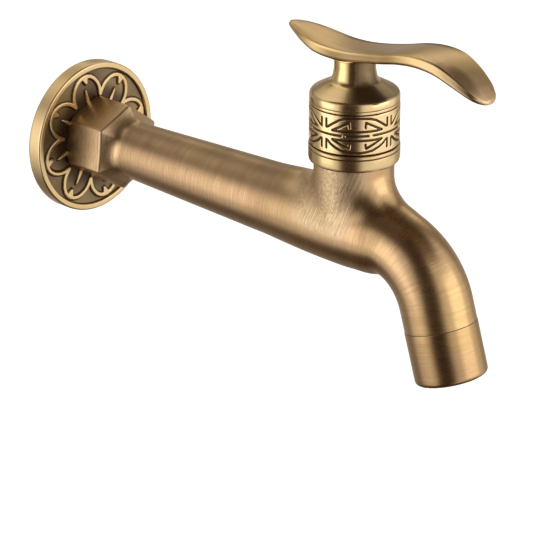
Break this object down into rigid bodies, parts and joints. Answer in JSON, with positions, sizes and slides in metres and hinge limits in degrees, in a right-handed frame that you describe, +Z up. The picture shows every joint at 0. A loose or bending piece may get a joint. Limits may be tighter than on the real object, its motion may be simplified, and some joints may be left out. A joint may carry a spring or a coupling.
{
  "type": "wall-mounted garden tap",
  "caption": "Long wall-mounted cold tap with a lever handle, a quarter-turn ceramic valve, a round wall plate and a down-turned spout with an aerator.",
  "frame": {"origin": "inlet thread's axis where it crosses the wall plane, which is the wall plate's back face", "axes": "+Y into the wall along the inlet, -Y out along the tube, +Z up, +X to the left of someone who faces the wall"},
  "size_m": [0.06, 0.216, 0.1213],
  "materials": {
    "antique_brass": "brushed antique bronze brass with brighter edges and dark recesses",
    "plain_brass": "plain turned brass",
    "black_rubber": "moulded rubber",
    "ceramic": "lapped white ceramic",
    "steel": "stainless steel",
    "white_plastic": "moulded plastic"
  },
  "bodies": {
    "tap": {"tap_body": "antique_brass", "escutcheon": "antique_brass", "lower_ring": "antique_brass", "carved_sleeve": "antique_brass", "head_body": "plain_brass", "head_o_ring": "black_rubber", "seat_seal": "black_rubber", "fixed_disc": "ceramic", "thrust_washer": "white_plastic", "nozzle": "antique_brass", "aerator_washer": "black_rubber", "aerator_insert": "white_plastic", "aerator_screen": "steel", "aerator_grid": "white_plastic"},
    "handle": {"lever_handle": "antique_brass", "grub_screw": "steel", "spindle": "plain_brass", "spindle_o_ring_lower": "black_rubber", "spindle_o_ring_upper": "black_rubber", "moving_disc": "ceramic", "circlip": "steel"}
  },
  "joints": [
    {"name": "handle_turn", "type": "hinge", "parent": "tap", "child": "handle", "pos_m": [0, -0.1404, 0.047], "axis": [0, 0, 1], "range_deg": [0, 90]}
  ]
}
